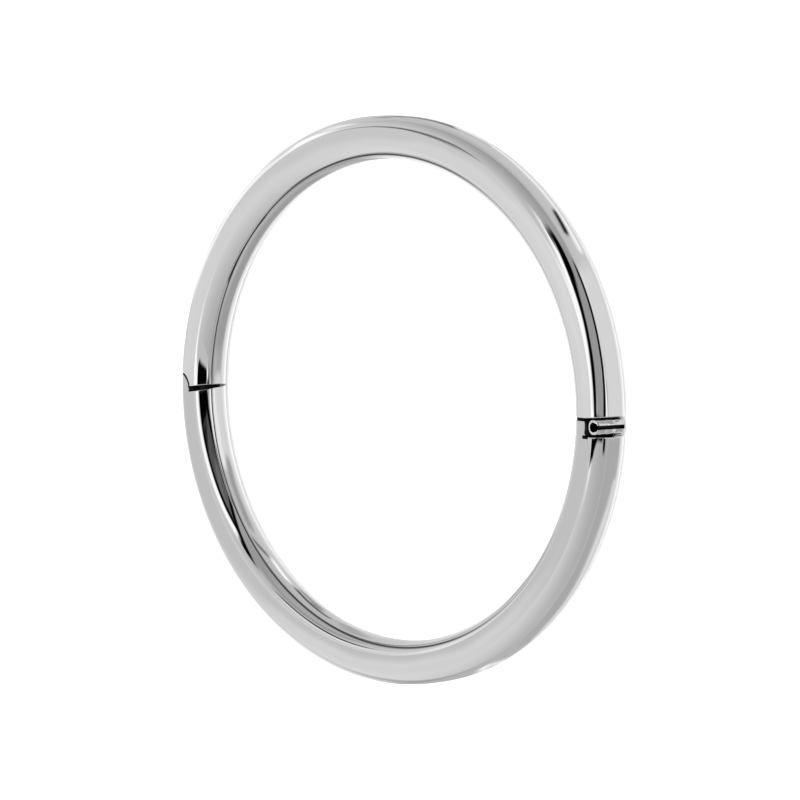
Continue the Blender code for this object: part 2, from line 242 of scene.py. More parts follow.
# Cards in the tents: corners, half width, softness, grey from 0 to 255, and strength. Later ones lie over
# earlier ones.
BOTH_VIEWS = (
    (((80, -20), (79, -33), (71, -83), (56, -124)), 9, 6, 164, 0.9),
    (((-150, -20), (-110, -110), (-60, -160)), 18, 14, 254, 0.8),
)
UPPER_VIEW = (
    (((74, -40), (70, -83), (54, -122), (34, -148)), 12, 6, 153, 0.9),
    (((63, 86), (61, 95)), 2.5, 2, 20, 1.0),
    (((40, 138.5), (36, 143), (31, 148), (24.5, 153)), 2.4, 2, 158, 0.9),
    (((24.5, 153), (16, 160), (8, 163), (-6, 158.5), (-28, 146)), 3, 3, 105, 0.9),
    (((-28, 146), (-47, 132.5), (-64, 115.6)), 2.5, 2.5, 140, 0.8),
    (((71, 78), (64, 100), (58, 113), (50, 127), (41, 141), (30, 152)), 2.5, 2.5, 246, 0.9),
    (((-98, 84), (-98, 66), (-102, 50)), 3, 3, 238, 0.9),
    (((-108, 60), (-107.5, 24), (-111, 12), (-110, 5)), 3.6, 2.5, 253, 1.0),
    (((-130, 68), (-122, 40), (-117, 17)), 8, 5, 246, 1.0),
    (((-138, 32), (-122, 13)), 4, 3, 251, 1.0),
    (((-83, 36), (-91, 28), (-97.5, 18.5), (-101, 9)), 2.6, 2, 90, 0.9),
    (((-101, 3), (-104, 3.5)), 2.5, 2, 198, 1.0),
    (((-99.3, -4), (-99.3, -1)), 2, 2, 215, 1.0),
    (((80, -6), (80, 2), (79, 20), (72, 60)), 9, 4, 213, 0.9),
    (((-84, 0), (-72, 4), (-62, 13), (-55, 22), (-48, 33), (-42, 39)), 9, 6, 252, 1.0),
    (((-94, -7), (-78, -7.5), (-62, -8.5)), 2.5, 1, 252, 1.0),
    (((-20, 44), (40, 58)), 8, 8, 165, 1.0),
    (((-12, 4), (0, 48)), 16, 3, 148, 1.0),
    (((2, 4), (14, 48)), 16, 3, 148, 1.0),
    (((15, 4), (24, 55)), 12, 3, 148, 1.0),
    (((56, -6), (53, 8)), 6, 3, 250, 1.0),
    (((60, 15), (60, 60)), 5, 5, 226, 0.9),
    (((-44, 40), (-34, 47), (-20, 52.5), (-6, 53.5)), 3, 3, 5, 0.9),
    (((-49, -5), (-42, 3), (-36, 12), (-33, 22), (-30, 30), (-25, 38), (-18, 45), (-9, 51)), 11, 4, 1, 1.0),
    (((32, -8), (37, 0), (42, 10), (43, 22), (44, 34), (44, 46), (42, 56)), 9, 4, 1, 1.0),
    (((-70, -13), (-58, -15), (-48, -17.5), (-25, -19), (-10, -20), (20, -19.5)), 3.4, 1, 189, 1.0),
    (((-54, -9.5), (-46, -10.5)), 2.5, 1.5, 1, 1.0),
    (((-46, -10), (-25, -11.2), (0, -12), (13.5, -11.6)), 4.4, 1.2, 1, 1.0),
    (((27, -13), (24, -15)), 3, 2, 250, 1.0),
)
LOWER_VIEW = (
    (((24, -102), (5, -118), (-10, -130), (-32, -144)), 14, 10, 182, 0.9),
    (((58, -122), (50, -136), (31, -161)), 7, 6, 173, 0.8),
    (((51, -147), (37, -148)), 2.2, 4.2, 246, 0.9),
    (((44, -158), (36, -149)), 2.4, 4.5, 246, 0.9),
    (((86, -40), (81, -60), (72, -107), (63, -128)), 2.5, 2.5, 222, 0.9),
    (((-35, 128), (-15, 141), (10, 149)), 7, 5, 164, 0.9),
    (((32, 153), (20, 160), (4, 166)), 4.5, 4, 220, 0.9),
    (((47, 129), (38, 136), (28, 134)), 4, 3, 142, 0.9),
    (((53, 107), (45, 115)), 4, 3, 248, 1.0),
    (((44, 88), (50, 99)), 3, 2, 110, 0.9),
    (((38, 123), (24, 130.5), (14, 137.5)), 2.8, 2, 50, 0.9),
    (((-117, 40), (-130, 44), (-136, 59), (-149, 69)), 4, 4, 165, 0.8),
    (((-132, 18), (-131, 36)), 3.5, 3, 142, 0.9),
    (((-70, 46), (-80, 45.5), (-92, 40)), 3.6, 2, 8, 1.0),
    (((-97, -8), (-107, -6)), 6, 3, 191, 1.0),
    (((-102.6, -12.6), (-100.6, -12.6)), 2, 2, 210, 1.0),
    (((-106, 6), (-107, 22)), 3, 3, 228, 1.0),
    (((-80, 34), (-92, 30), (-99, 24)), 3, 2, 226, 1.0),
    (((-74, 66), (-40, 63), (-10, 72)), 9, 5, 151, 1.0),
    (((80, -6), (80, 2), (79, 20), (76, 38)), 9, 4, 213, 0.9),
    (((66, -4), (68, 20), (64, 40)), 6, 4, 234, 0.9),
    (((77, 46), (70, 58), (66, 70), (60, 80)), 6, 4, 150, 0.9),
    (((-66, -8), (-58, 6), (-52, 18), (-45, 30), (-37, 40), (-30, 42)), 10, 6, 252, 1.0),
    (((46, -4), (47, 14), (46, 34), (38, 52)), 6, 3, 248, 1.0),
    (((-30, 2), (22, 2)), 7, 3, 8, 1.0),
    (((-26, 14), (24, 14)), 7, 3, 30, 1.0),
    (((-22, 30), (26, 26)), 12, 4, 70, 1.0),
    (((-16, 42), (22, 42)), 9, 4, 90, 1.0),
    (((-14, 24), (12, 12)), 7, 5, 84, 0.9),
    (((-14, 38), (8, 34)), 6, 5, 106, 0.9),
    (((-30, -1), (14, -1)), 6, 3, 2, 1.0),
    (((-52, 43), (-38, 50), (-22, 53), (0, 55), (24, 55)), 4.5, 2.5, 1, 1.0),
    (((-38, -6), (-35, 8), (-32, 22), (-29, 34), (-24, 46)), 7, 3, 1, 1.0),
    (((14, -3), (23, 8), (32, 20), (35, 30), (33, 42), (27, 52)), 7, 3, 1, 1.0),
    (((-76, -10.5), (-66, -12), (-50, -13.6)), 2.4, 1, 1, 1.0),
    (((-50, -12.8), (-20, -12.2), (0, -13.6), (20, -15)), 2.4, 1, 1, 1.0),
    (((33, -18.3), (44, -18.8)), 4.5, 2, 1, 1.0),
)

# Painted reflection: a fine dark line that runs round the inner edge, placed by the way the surface faces
# there, in the same degrees.
# It is an oval that ends on one side of the fade line, with a wider dash in one place.
REFLECTION_LINE_MIDDLE = (-16.5, -4)
REFLECTION_LINE_REACH = (47, 57)
REFLECTION_LINE_HALF_WIDTH = 0.10
REFLECTION_LINE_FADE = ((-61, -30), (-58, 52))
REFLECTION_LINE_FADE_SOFTNESS = 5
REFLECTION_LINE_DASH = (((11, -53), (14, -46.8), (15.6, -42), (17.5, -37)), 2.8, 1.2)
REFLECTION_LINE_DARKNESS = 0.98
REFLECTION_LINE_GREY = 0.02


# Meshes

def object_of(name, bm, materials):
    """Object with the mesh that bm holds and the materials. It frees bm."""
    mesh = bpy.data.meshes.new(name)
    bm.to_mesh(mesh)
    bm.free()
    item = bpy.data.objects.new(name, mesh)
    bpy.context.scene.collection.objects.link(item)
    for material in materials:
        mesh.materials.append(material)
    return item


def join_rings(bm, ring, following):
    """Faces between two closed rings with as many points each."""
    count = len(ring)
    for index in range(count):
        after = (index + 1) % count
        bm.faces.new((ring[index], ring[after], following[after], following[index]))


def values_of(items, attribute, size, kind):
    """One attribute of all the items, as a flat array with size numbers each."""
    values = np.zeros(len(items) * size, kind)
    items.foreach_get(attribute, values)
    return values


# Shader nodes

class Maths:
    """Short ways to add nodes to a tree. A value is a number or another node's output."""

    def __init__(self, tree):
        self.tree = tree

    def node(self, kind, **settings):
        """New node of a kind with its settings."""
        made = self.tree.nodes.new(kind)
        for key, value in settings.items():
            setattr(made, key, value)
        return made

    def put(self, socket, value):
        """Link or set a socket."""
        if isinstance(value, bpy.types.NodeSocket):
            self.tree.links.new(value, socket)
        else:
            socket.default_value = value

    def math(self, operation, *values):
        """Result of one operation on the values."""
        made = self.node("ShaderNodeMath", operation=operation)
        for socket, value in zip(made.inputs, values):
            self.put(socket, value)
        return made.outputs[0]

    def dot(self, vector, axis):
        """Dot product of a vector and a fixed axis."""
        made = self.node("ShaderNodeVectorMath", operation="DOT_PRODUCT")
        self.put(made.inputs[0], vector)
        made.inputs[1].default_value = axis
        return made.outputs["Value"]

    def step(self, value, start, end):
        """0 before start, 1 after end, and smooth between them."""
        made = self.node("ShaderNodeMapRange", interpolation_type="SMOOTHSTEP")
        self.put(made.inputs["Value"], value)
        made.inputs["From Min"].default_value = min(start, end)
        made.inputs["From Max"].default_value = max(start, end)
        made.inputs["To Min"].default_value = 0.0 if start < end else 1.0
        made.inputs["To Max"].default_value = 1.0 if start < end else 0.0
        return made.outputs[0]

    def clamp(self, value):
        """The value, held between 0 and 1."""
        made = self.node("ShaderNodeClamp")
        self.put(made.inputs["Value"], value)
        return made.outputs[0]

    def cover(self, shade, mask, over, strength):
        """The shade with another one laid over it where the mask is 1."""
        if strength < 1.0:
            mask = self.math("MULTIPLY", mask, strength)
        return self.mix(mask, shade, over)

    def mix(self, share, first, second):
        """The first value where the share is 0 and the second where it is 1."""
        made = self.node("ShaderNodeMix", data_type="FLOAT")
        self.put(made.inputs[0], share)
        self.put(made.inputs[2], first)
        self.put(made.inputs[3], second)
        return made.outputs[0]

    def colour(self, share, first, second):
        """The first colour where the share is 0 and the second where it is 1."""
        made = self.node("ShaderNodeMix", data_type="RGBA")
        self.put(made.inputs[0], share)
        made.inputs[6].default_value = (*first, 1.0)
        made.inputs[7].default_value = (*second, 1.0)
        return made.outputs[2]


def grey_of(share):
    """Colour with the same share of red, green and blue."""
    return (share, share, share)


# Materials

def new_material(name, colour, metallic, roughness):
    """Material with its shader, and the maths for its nodes."""
    material = bpy.data.materials.new(name)
    material.use_nodes = True
    shader = material.node_tree.nodes["Principled BSDF"]
    shader.inputs["Base Color"].default_value = (*colour, 1.0)
    shader.inputs["Metallic"].default_value = metallic
    shader.inputs["Roughness"].default_value = roughness
    return material, shader, Maths(material.node_tree)


def polished_silver(name):
    """Mirror polish with the faint haze that the buffing wheel leaves."""
    material, shader, nodes = new_material(name, grey_of(SILVER_GREY), 1.0, POLISH_ROUGHNESS[1])
    haze = nodes.node("ShaderNodeTexNoise")
    haze.inputs["Scale"].default_value = HAZE_SCALE
    haze.inputs["Detail"].default_value = HAZE_DETAIL
    nodes.put(haze.inputs["Vector"], nodes.node("ShaderNodeTexCoord").outputs["Object"])
    spread = nodes.node("ShaderNodeMapRange")
    nodes.put(spread.inputs["Value"], haze.outputs["Fac"])
    spread.inputs["From Min"].default_value = HAZE_SPREAD[0]
    spread.inputs["From Max"].default_value = HAZE_SPREAD[1]
    spread.inputs["To Min"].default_value = POLISH_ROUGHNESS[0]
    spread.inputs["To Max"].default_value = POLISH_ROUGHNESS[1]
    nodes.put(shader.inputs["Roughness"], spread.outputs[0])
    return material


def hairlined_silver(name):
    """Polished silver of the inside, with a painted reflection: a fine dark line round the inner edge, placed
    by the way the surface faces.
    """
    material = polished_silver(name)
    shader = material.node_tree.nodes["Principled BSDF"]
    nodes = Maths(material.node_tree)
    facing = Surroundings(nodes, nodes.node("ShaderNodeTexCoord").outputs["Normal"])
    rim = facing.oval(REFLECTION_LINE_MIDDLE, REFLECTION_LINE_REACH)
    apart = nodes.math("ABSOLUTE", nodes.math("SUBTRACT", rim, 1.0))
    line = nodes.step(apart, REFLECTION_LINE_HALF_WIDTH, 0.0)
    line = nodes.math("MULTIPLY", line, facing.beyond(*REFLECTION_LINE_FADE, REFLECTION_LINE_FADE_SOFTNESS))
    line = nodes.math("MAXIMUM", line, facing.stripe(*REFLECTION_LINE_DASH))
    # Painted reflection: the base colour turns near-black along the line
    share = nodes.math("MULTIPLY", line, REFLECTION_LINE_DARKNESS)
    colour = nodes.colour(share, grey_of(SILVER_GREY), grey_of(REFLECTION_LINE_GREY))
    nodes.put(shader.inputs["Base Color"], colour)
    return material


def tarnished_silver(name, darkest, palest):
    """The dark, dull surface of the gaps and end faces, which polishing never reaches: its near-black colour
    is painted shade, mottled like tarnish.
    """
    material, shader, nodes = new_material(name, grey_of(palest), 0.0, TARNISH_ROUGHNESS)
    shader.inputs["Specular IOR Level"].default_value = TARNISH_SPECULAR
    patches = nodes.node("ShaderNodeTexNoise")
    patches.inputs["Scale"].default_value = TARNISH_SCALE
    nodes.put(patches.inputs["Vector"], nodes.node("ShaderNodeTexCoord").outputs["Object"])
    tinted = [palest * share for share in TARNISH_TINT]
    colour = nodes.colour(patches.outputs["Fac"], grey_of(darkest), tinted)
    nodes.put(shader.inputs["Base Color"], colour)
    return material


# Forms. Out and along are places in the band's section: out from its centre line, and along the wrist

def section_curve():
    """Front side of the band's section, finely, from the outer wall to the inner one.

    Each row gives out, along and the normal's two parts.
    """
    half_along = BAND_WIDTH / 2
    lengths = (
        half_along - OUTER_EDGE_RADIUS,
        OUTER_EDGE_RADIUS * math.pi / 2,
        BAND_THICKNESS - OUTER_EDGE_RADIUS - INNER_EDGE_RADIUS,
        INNER_EDGE_RADIUS * math.pi / 2,
        half_along - INNER_EDGE_RADIUS,
    )
    square = math.pi / 2
    turns = (0.0, OUTER_CROWN, square - FRONT_CROWN, square + FRONT_CROWN, math.pi - INNER_CROWN, math.pi)
    spots = np.arange(len(lengths) * CURVE_STEPS + 1) / CURVE_STEPS
    angle = np.interp(spots, range(len(turns)), turns)
    length = np.repeat(lengths, CURVE_STEPS) / CURVE_STEPS
    middle = (angle[1:] + angle[:-1]) / 2
    out = np.append(0.0, np.cumsum(-np.sin(middle) * length))
    along = np.append(0.0, np.cumsum(np.cos(middle) * length))

    # Fit to the band's thickness and width
    stretch_out = 2 * HALF_OUT / (out[0] - out[-1])
    top = along.max()
    stretch = np.where(angle <= square, HALF_ALONG / top, HALF_ALONG / (top - along[-1]))
    out = HALF_OUT + out * stretch_out
    along = HALF_ALONG + (along - top) * stretch
    normal_out = np.cos(angle) / stretch_out
    normal_along = np.sin(angle) / stretch
    size = np.hypot(normal_out, normal_along)
    return np.stack([out, along, normal_out / size, normal_along / size], axis=1)


def outline(flats):
    """The whole section, with points at each out in flats.

    The front side comes first, then the back side, so that point k and point -1-k are a pair.
    """
    curve = section_curve()
    indices = np.arange(len(curve))
    spots = [np.interp([-out for out in flats], -curve[:, 0], indices)]
    for piece, count in enumerate(COLUMNS):
        spots.append((piece + np.arange(count + 1) / count) * CURVE_STEPS)
    spots = np.unique(np.round(np.concatenate(spots), 6))
    spots = spots[(spots > 0) & (spots < indices[-1])]
    front = np.stack([np.interp(spots, indices, column) for column in curve.T], axis=1)
    back = front[::-1] * np.array([1.0, -1.0, 1.0, -1.0])
    return np.vstack([front, back])


def wobble(turn):
    """How far the section is turned about the centre line."""
    return sum(amount * np.sin(times * turn + start) for amount, times, start in WOBBLES)


def turned(out, along, angle):
    """A point or direction of the section, turned by an angle."""
    return out * np.cos(angle) - along * np.sin(angle), out * np.sin(angle) + along * np.cos(angle)


def place(out, along, turn):
    """Where a point of the section lies at a turn round the oval centre line.

    The zero in the last line gives every point a height of its own.
    """
    out, along = turned(out, along, wobble(turn))
    cos = np.cos(turn)
    sin = np.sin(turn)
    out_x = cos / CENTRE_A
    out_y = sin / CENTRE_B
    length = np.hypot(out_x, out_y)
    x = CENTRE_A * cos + out * out_x / length
    y = CENTRE_B * sin + out * out_y / length
    return np.stack([x, y, MID_Z + along + 0.0 * turn], axis=-1)


def turn_at(out, along, level, near):
    """Turn at which the line at each place of the section crosses its level y, near the turn given."""
    turn = np.full(out.shape, near)
    small = 0.00001
    for _ in range(LEVEL_ROUNDS):
        y = place(out, along, turn)[..., 1]
        slope = (place(out, along, turn + small)[..., 1] - y) / small
        turn = turn - (y - level) / slope
    return turn


def section_frame(points):
    """Out and along of points of the band, and the outward direction and wobble there.

    They belong to the nearest place of the centre line.
    """
    x = points[:, 0]
    y = points[:, 1]
    turn = np.arctan2(y * CENTRE_A, x * CENTRE_B)
    for _ in range(NEAREST_ROUNDS):
        cos = np.cos(turn)
        sin = np.sin(turn)
        square = CENTRE_A ** 2 - CENTRE_B ** 2
        miss = square * cos * sin - CENTRE_A * x * sin + CENTRE_B * y * cos
        slope = square * np.cos(2 * turn) - CENTRE_A * x * cos - CENTRE_B * y * sin
        turn = turn - miss / slope
    direction = np.stack([np.cos(turn) / CENTRE_A, np.sin(turn) / CENTRE_B], axis=1)
    direction /= np.linalg.norm(direction, axis=1)[:, None]
    centre = np.stack([CENTRE_A * np.cos(turn), CENTRE_B * np.sin(turn)], axis=1)
    out = ((points[:, :2] - centre) * direction).sum(axis=1)
    out, along = turned(out, points[:, 2] - MID_Z, -wobble(turn))
    return out, along, direction, wobble(turn)


def skin_normals(points):
    """Exact normals of the band's rounded surface, and how deep under it each point lies."""
    out, along, direction, lean = section_frame(points)
    curve = section_curve()
    bearings = np.arctan2(curve[:, 1], curve[:, 0])
    bearing = np.arctan2(np.abs(along), out)
    reach = np.interp(bearing, bearings, np.hypot(curve[:, 0], curve[:, 1]))
    angle = np.interp(bearing, bearings, np.arctan2(curve[:, 3], curve[:, 2])) * np.sign(along)
    normal_out, normal_along = turned(np.cos(angle), np.sin(angle), lean)
    normals = np.stack([normal_out * direction[:, 0], normal_out * direction[:, 1], normal_along], axis=1)
    return normals, reach - np.hypot(out, along)


def band(name, flats, start_level, start_near, end_level, end_near, materials):
    """Part of the hoop between two end faces.

    The levels give the height y of each end face over the section, and the nears its rough turn. The edges of
    the end faces are eased in rings, and the stations between them blend into even turns.
    """
    points = outline(flats)
    out = points[:, 0]
    along = points[:, 1]
    rings = []
    ends = []
    for level, near in ((start_level, start_near), (end_level, end_near)):
        steep = steepness(level, out, along)
        eased = []
        for step in range(EASE_STEPS + 1):
            angle = math.pi / 2 * step / EASE_STEPS
            inset = EASE * (1 - math.cos(angle))
            back = EASE * steep * (1 - math.sin(angle))
            now_out = out - inset * points[:, 2]
            now_along = along - inset * points[:, 3]
            height = level(now_out, now_along)
            away = 1.0 if level.upwards else -1.0
            turn = turn_at(now_out, now_along, height + away * back, near)
            eased.append((now_out, now_along, turn))
        ends.append(eased)
    first = ends[0][0][2]
    last = ends[1][0][2]
    for now_out, now_along, turn in reversed(ends[0][1:]):
        rings.append(place(now_out, now_along, turn))
    low = first.mean()
    high = last.mean()
    for station in range(STATIONS + 1):
        from_start = max(0.0, 1 - station / BLEND_STATIONS)
        from_end = max(0.0, 1 - (STATIONS - station) / BLEND_STATIONS)
        turn = low + (high - low) * station / STATIONS
        rings.append(place(out, along, turn + from_start * (first - low) + from_end * (last - high)))
    for now_out, now_along, turn in ends[1][1:]:
        rings.append(place(now_out, now_along, turn))

    bm = bmesh.new()
    grid = [[bm.verts.new(point) for point in ring] for ring in rings]
    count = len(out)
    for ring, following in zip(grid, grid[1:]):
        for index in range(count):
            after = (index + 1) % count
            face = bm.faces.new((ring[index], ring[after], following[after], following[index]))
            face.material_index = INSIDE if out[index] < 0 and out[after] < 0 else SKIN
    for ring, level in ((grid[0], start_level), (grid[-1], end_level)):
        for index in range(count // 2 - 1):
            face = bm.faces.new((ring[index], ring[index + 1], ring[-2 - index], ring[-1 - index]))
            face.material_index = SKIN if out[index + 1] > level.polished_beyond else CUT_FACE
    bmesh.ops.recalc_face_normals(bm, faces=bm.faces)
    return object_of(name, bm, materials)


def steepness(level, out, along):
    """How much longer the eased edge is where the end face runs up steeply."""
    small = 0.00002
    slope = (level(out + small, along) - level(out - small, along)) / (2 * small)
    return np.minimum(np.hypot(1.0, slope), STEEPEST_EASE)


class Level:
    """Height y of an end face as a function of out and along, and whether the band lies above it.

    Beyond some place of the section, further out, the face is polished like the skin. The zero in the call
    gives every point a height of its own.
    """

    def __init__(self, height, upwards, polished_beyond=BAND_THICKNESS):
        self.height = height
        self.upwards = upwards
        self.polished_beyond = polished_beyond

    def __call__(self, out, along):
        return self.height(out, along) + 0.0 * out


def clasp_upper(out, along):
    """End face of the upper half at the clasp, with the scoop that the tab seats in."""
    plane = CLASP_PARTING_Y + CLASP_GAP_MIDDLE / 2 - math.tan(CLASP_LEAN) * out
    return np.maximum(plane, tab_top(out, TAB_DEPTH + TAB_GAP, TAB_HEIGHT + TAB_GAP))


def clasp_lower(out, along):
    """End face of the lower half at the clasp, with the rounded tab on its outer side."""
    wedge = (CLASP_GAP_FRONT - CLASP_GAP_BACK) * along / BAND_WIDTH
    plane = CLASP_PARTING_Y - CLASP_GAP_MIDDLE / 2 - math.tan(CLASP_LEAN) * out - wedge
    return np.maximum(plane, tab_top(out, TAB_DEPTH, TAB_HEIGHT))


def tab_top(out, depth, height):
    """Top of the oval tab over each out, with its middle on the band's outer wall.

    Past the tab's depth it is far below, so that the plane of the end face counts there.
    """
    share = np.clip((BAND_THICKNESS / 2 - out) / depth, 0.0, 1.0)
    middle = CLASP_PARTING_Y - CLASP_GAP_MIDDLE / 2
    return middle + height * np.sqrt(1 - share ** 2) - np.where(share >= 1, FAR_BELOW, 0.0)


def beside_tab(edge, close_lines):
    """Places of the extra mesh lines beside the edge of the tab or scoop."""
    close = [edge + line for line in close_lines]
    wider = [edge + WIDER_STEP * step ** WIDER_GROWTH for step in range(1, WIDER_LINES + 1)]
    return close + wider


def out_at(x, y):
    """How far out from the centre line a point in the band's middle plane is."""
    return section_frame(np.array([[x, y, MID_Z]]))[0][0]


def hinge_upper(out, along):
    """End face of the upper half at the hinge, which rises outside to clear the barrel."""
    wall_out = out_at(NOTCH_X, UPPER_HINGE_Y)
    share = (out - wall_out) / (BAND_THICKNESS / 2 - wall_out)
    return UPPER_HINGE_Y + HINGE_RISE * np.maximum(share, 0.0)


def hinge_lower(out, along):
    """End face of the lower half at the hinge: the land inside and the floor of the notch outside."""
    wall_out = out_at(NOTCH_X, LOWER_HINGE_Y)
    return np.where(out <= wall_out + ON_SKIN, LOWER_HINGE_Y, NOTCH_Y)


def plain_box(name, low, high):
    """Box between two corners, for a cut or for easing, with the material of a cut face."""
    bm = bmesh.new()
    bmesh.ops.create_cube(bm, size=1.0)
    bmesh.ops.scale(bm, verts=bm.verts, vec=[b - a for a, b in zip(low, high)])
    bmesh.ops.translate(bm, verts=bm.verts, vec=[(a + b) / 2 for a, b in zip(low, high)])
    for face in bm.faces:
        face.material_index = CUT_FACE
    return object_of(name, bm, [])


def cut(item, cutter):
    """Cut a box out of an item, keep the result as its mesh and remove the box."""
    for material in item.data.materials:
        cutter.data.materials.append(material)
    modifier = item.modifiers.new(cutter.name, "BOOLEAN")
    modifier.operation = "DIFFERENCE"
    modifier.solver = "EXACT"
    modifier.object = cutter
    evaluated = item.evaluated_get(bpy.context.evaluated_depsgraph_get())
    mesh = bpy.data.meshes.new_from_object(evaluated)
    item.modifiers.clear()
    item.data = mesh
    bpy.data.objects.remove(cutter, do_unlink=True)


def smooth(item):
    """Smooth shading with hard edges where the surface turns sharply."""
    item.data.shade_smooth()
    item.data.set_sharp_from_angle(angle=SHARP_ANGLE)


def set_skin_normals(item):
    """Give the polished skin of the band its exact normals, so that it mirrors without facets."""
    smooth(item)
    mesh = item.data
    normals = values_of(mesh.corner_normals, "vector", 3, np.float32).reshape(-1, 3).astype(float)
    verts = values_of(mesh.vertices, "co", 3, np.float32).reshape(-1, 3).astype(float)
    corner_vert = values_of(mesh.loops, "vertex_index", 1, np.int32)
    kinds = values_of(mesh.polygons, "material_index", 1, np.int32)
    totals = values_of(mesh.polygons, "loop_total", 1, np.int32)
    exact, depth = skin_normals(verts)
    polished = np.repeat(kinds, totals) != CUT_FACE
    on_skin = polished & (np.abs(depth[corner_vert]) < ON_SKIN)
    normals[on_skin] = exact[corner_vert[on_skin]]
    mesh.normals_split_custom_set(normals.astype(np.float32))


def rounded_prism(name, points, low_z, high_z, low_ease, high_ease, materials, hollow=0):
    """Upright solid of a closed outline, with its end edges rounded.

    The last points, as many as hollow says, run round a bore, where the edges are rounded less.
    """
    base = np.array(points)
    ahead = np.roll(base, -1, axis=0) - base
    ahead /= np.linalg.norm(ahead, axis=1)[:, None]
    side = np.stack([ahead[:, 1], -ahead[:, 0]], axis=1)
    before = np.roll(side, 1, axis=0)
    normal = side + before
    normal /= (1 + (side * before).sum(axis=1))[:, None]
    if hollow:
        normal[-hollow:] *= HOLLOW_EASE
    bm = bmesh.new()
    rings = []
    steps = range(EASE_STEPS + 1)
    profile = [(1 - math.sin(a), 1 - math.cos(a)) for a in (math.pi / 2 * s / EASE_STEPS for s in steps)]
    for height, inset in reversed(profile):
        ring = base - normal * inset * low_ease
        rings.append([bm.verts.new((x, y, low_z + height * low_ease)) for x, y in ring])
    for height, inset in profile:
        ring = base - normal * inset * high_ease
        rings.append([bm.verts.new((x, y, high_z - height * high_ease)) for x, y in ring])
    for ring, following in zip(rings, rings[1:]):
        join_rings(bm, ring, following)
    bm.faces.new(rings[0])
    bm.faces.new(rings[-1])
    bmesh.ops.recalc_face_normals(bm, faces=bm.faces)
    item = object_of(name, bm, materials)
    smooth(item)
    return item


def arc(radius, start, end, sides):
    """Points of an arc round the pin, between two angles."""
    angles = [start + (end - start) * step / sides for step in range(sides + 1)]
    return [(PIN_X + radius * math.cos(a), PIN_Y + radius * math.sin(a)) for a in angles]


def rolled_ring():
    """Section of a rolled knuckle, open along its outer seam, and how many of its points are the bore's."""
    seam_out = math.asin(KNUCKLE_SEAM / 2 / KNUCKLE_RADIUS)
    seam_in = math.asin(KNUCKLE_SEAM / 2 / KNUCKLE_BORE)
    points = arc(KNUCKLE_RADIUS, seam_out, 2 * math.pi - seam_out, ROUND_SIDES)
    bore = arc(KNUCKLE_BORE, 2 * math.pi - seam_in, seam_in, ROUND_SIDES // 2)
    return points + bore, len(bore)


def web_section(heading, reach):
    """Section of the web that joins a knuckle to its half, out along a heading."""
    points = []
    for far, aside in ((WEB_ROOT, -1), (reach, -1), (reach, 1), (WEB_ROOT, 1)):
        side = aside * WEB_WIDTH / 2
        x = PIN_X + far * math.cos(heading) - side * math.sin(heading)
        y = PIN_Y + far * math.sin(heading) + side * math.cos(heading)
        points.append((x, y))
    return points


def knuckle(half, index, heading, reach, silver, dark):
    """Ring of one knuckle, counted from the back face, and the web that joins it to its half."""
    barrel = BAND_WIDTH - 2 * BARREL_END_INSET
    pitch = (barrel + KNUCKLE_JOINT) / KNUCKLE_COUNT
    low = BARREL_END_INSET + pitch * index
    high = low + pitch - KNUCKLE_JOINT
    low_ease = KNUCKLE_RIM if index == 0 else KNUCKLE_EASE
    high_ease = KNUCKLE_RIM if index == KNUCKLE_COUNT - 1 else KNUCKLE_EASE
    name = "%s_knuckle_%d" % (half, index)
    section, bore_points = rolled_ring()
    ring = rounded_prism(name, section, low, high, low_ease, high_ease, [silver], bore_points)
    low += WEB_INSET
    high -= WEB_INSET
    web = rounded_prism(name + "_web", web_section(heading, reach), low, high, 0.0, 0.0, [dark])
    return [ring, web]


def stop_pad(name, level, near, material):
    """Plate on an end face at the hinge, where the two halves meet when the bangle is shut."""
    wall_out = out_at(NOTCH_X, LOWER_HINGE_Y) - STOP_INSET
    points = outline([wall_out])
    inset = points[:, :2] - STOP_INSET * points[:, 2:]
    inset = inset[inset[:, 0] <= wall_out]
    out, along = inset.T
    bm = bmesh.new()
    rings = []
    for height in (level + STOP_RISE, level - STOP_RISE):
        turn = turn_at(out, along, np.full(len(out), height), near)
        rings.append([bm.verts.new(point) for point in place(out, along, turn)])
    join_rings(bm, rings[0], rings[1])
    bm.faces.new(rings[0])
    bm.faces.new(rings[1])
    bmesh.ops.recalc_face_normals(bm, faces=bm.faces)
    item = object_of(name, bm, [material])
    smooth(item)
    return item


def lathe(name, profile, materials):
    """Turned piece on the pin's axis, from pairs of radius and height above the band's middle."""
    bm = bmesh.new()
    rings = []
    for radius, height in profile:
        if radius == 0.0:
            rings.append([bm.verts.new((PIN_X, PIN_Y, MID_Z + height))])
            continue
        ring = arc(radius, 0.0, 2 * math.pi, ROUND_SIDES)[:-1]
        rings.append([bm.verts.new((x, y, MID_Z + height)) for x, y in ring])
    for ring, following in zip(rings, rings[1:]):
        for index in range(ROUND_SIDES):
            after = (index + 1) % ROUND_SIDES
            corners = [ring[index % len(ring)], ring[after % len(ring)]]
            corners += [following[after % len(following)], following[index % len(following)]]
            bm.faces.new(list(dict.fromkeys(corners)))
    bmesh.ops.recalc_face_normals(bm, faces=bm.faces)
    item = object_of(name, bm, materials)
    smooth(item)
    return item


# Pieces

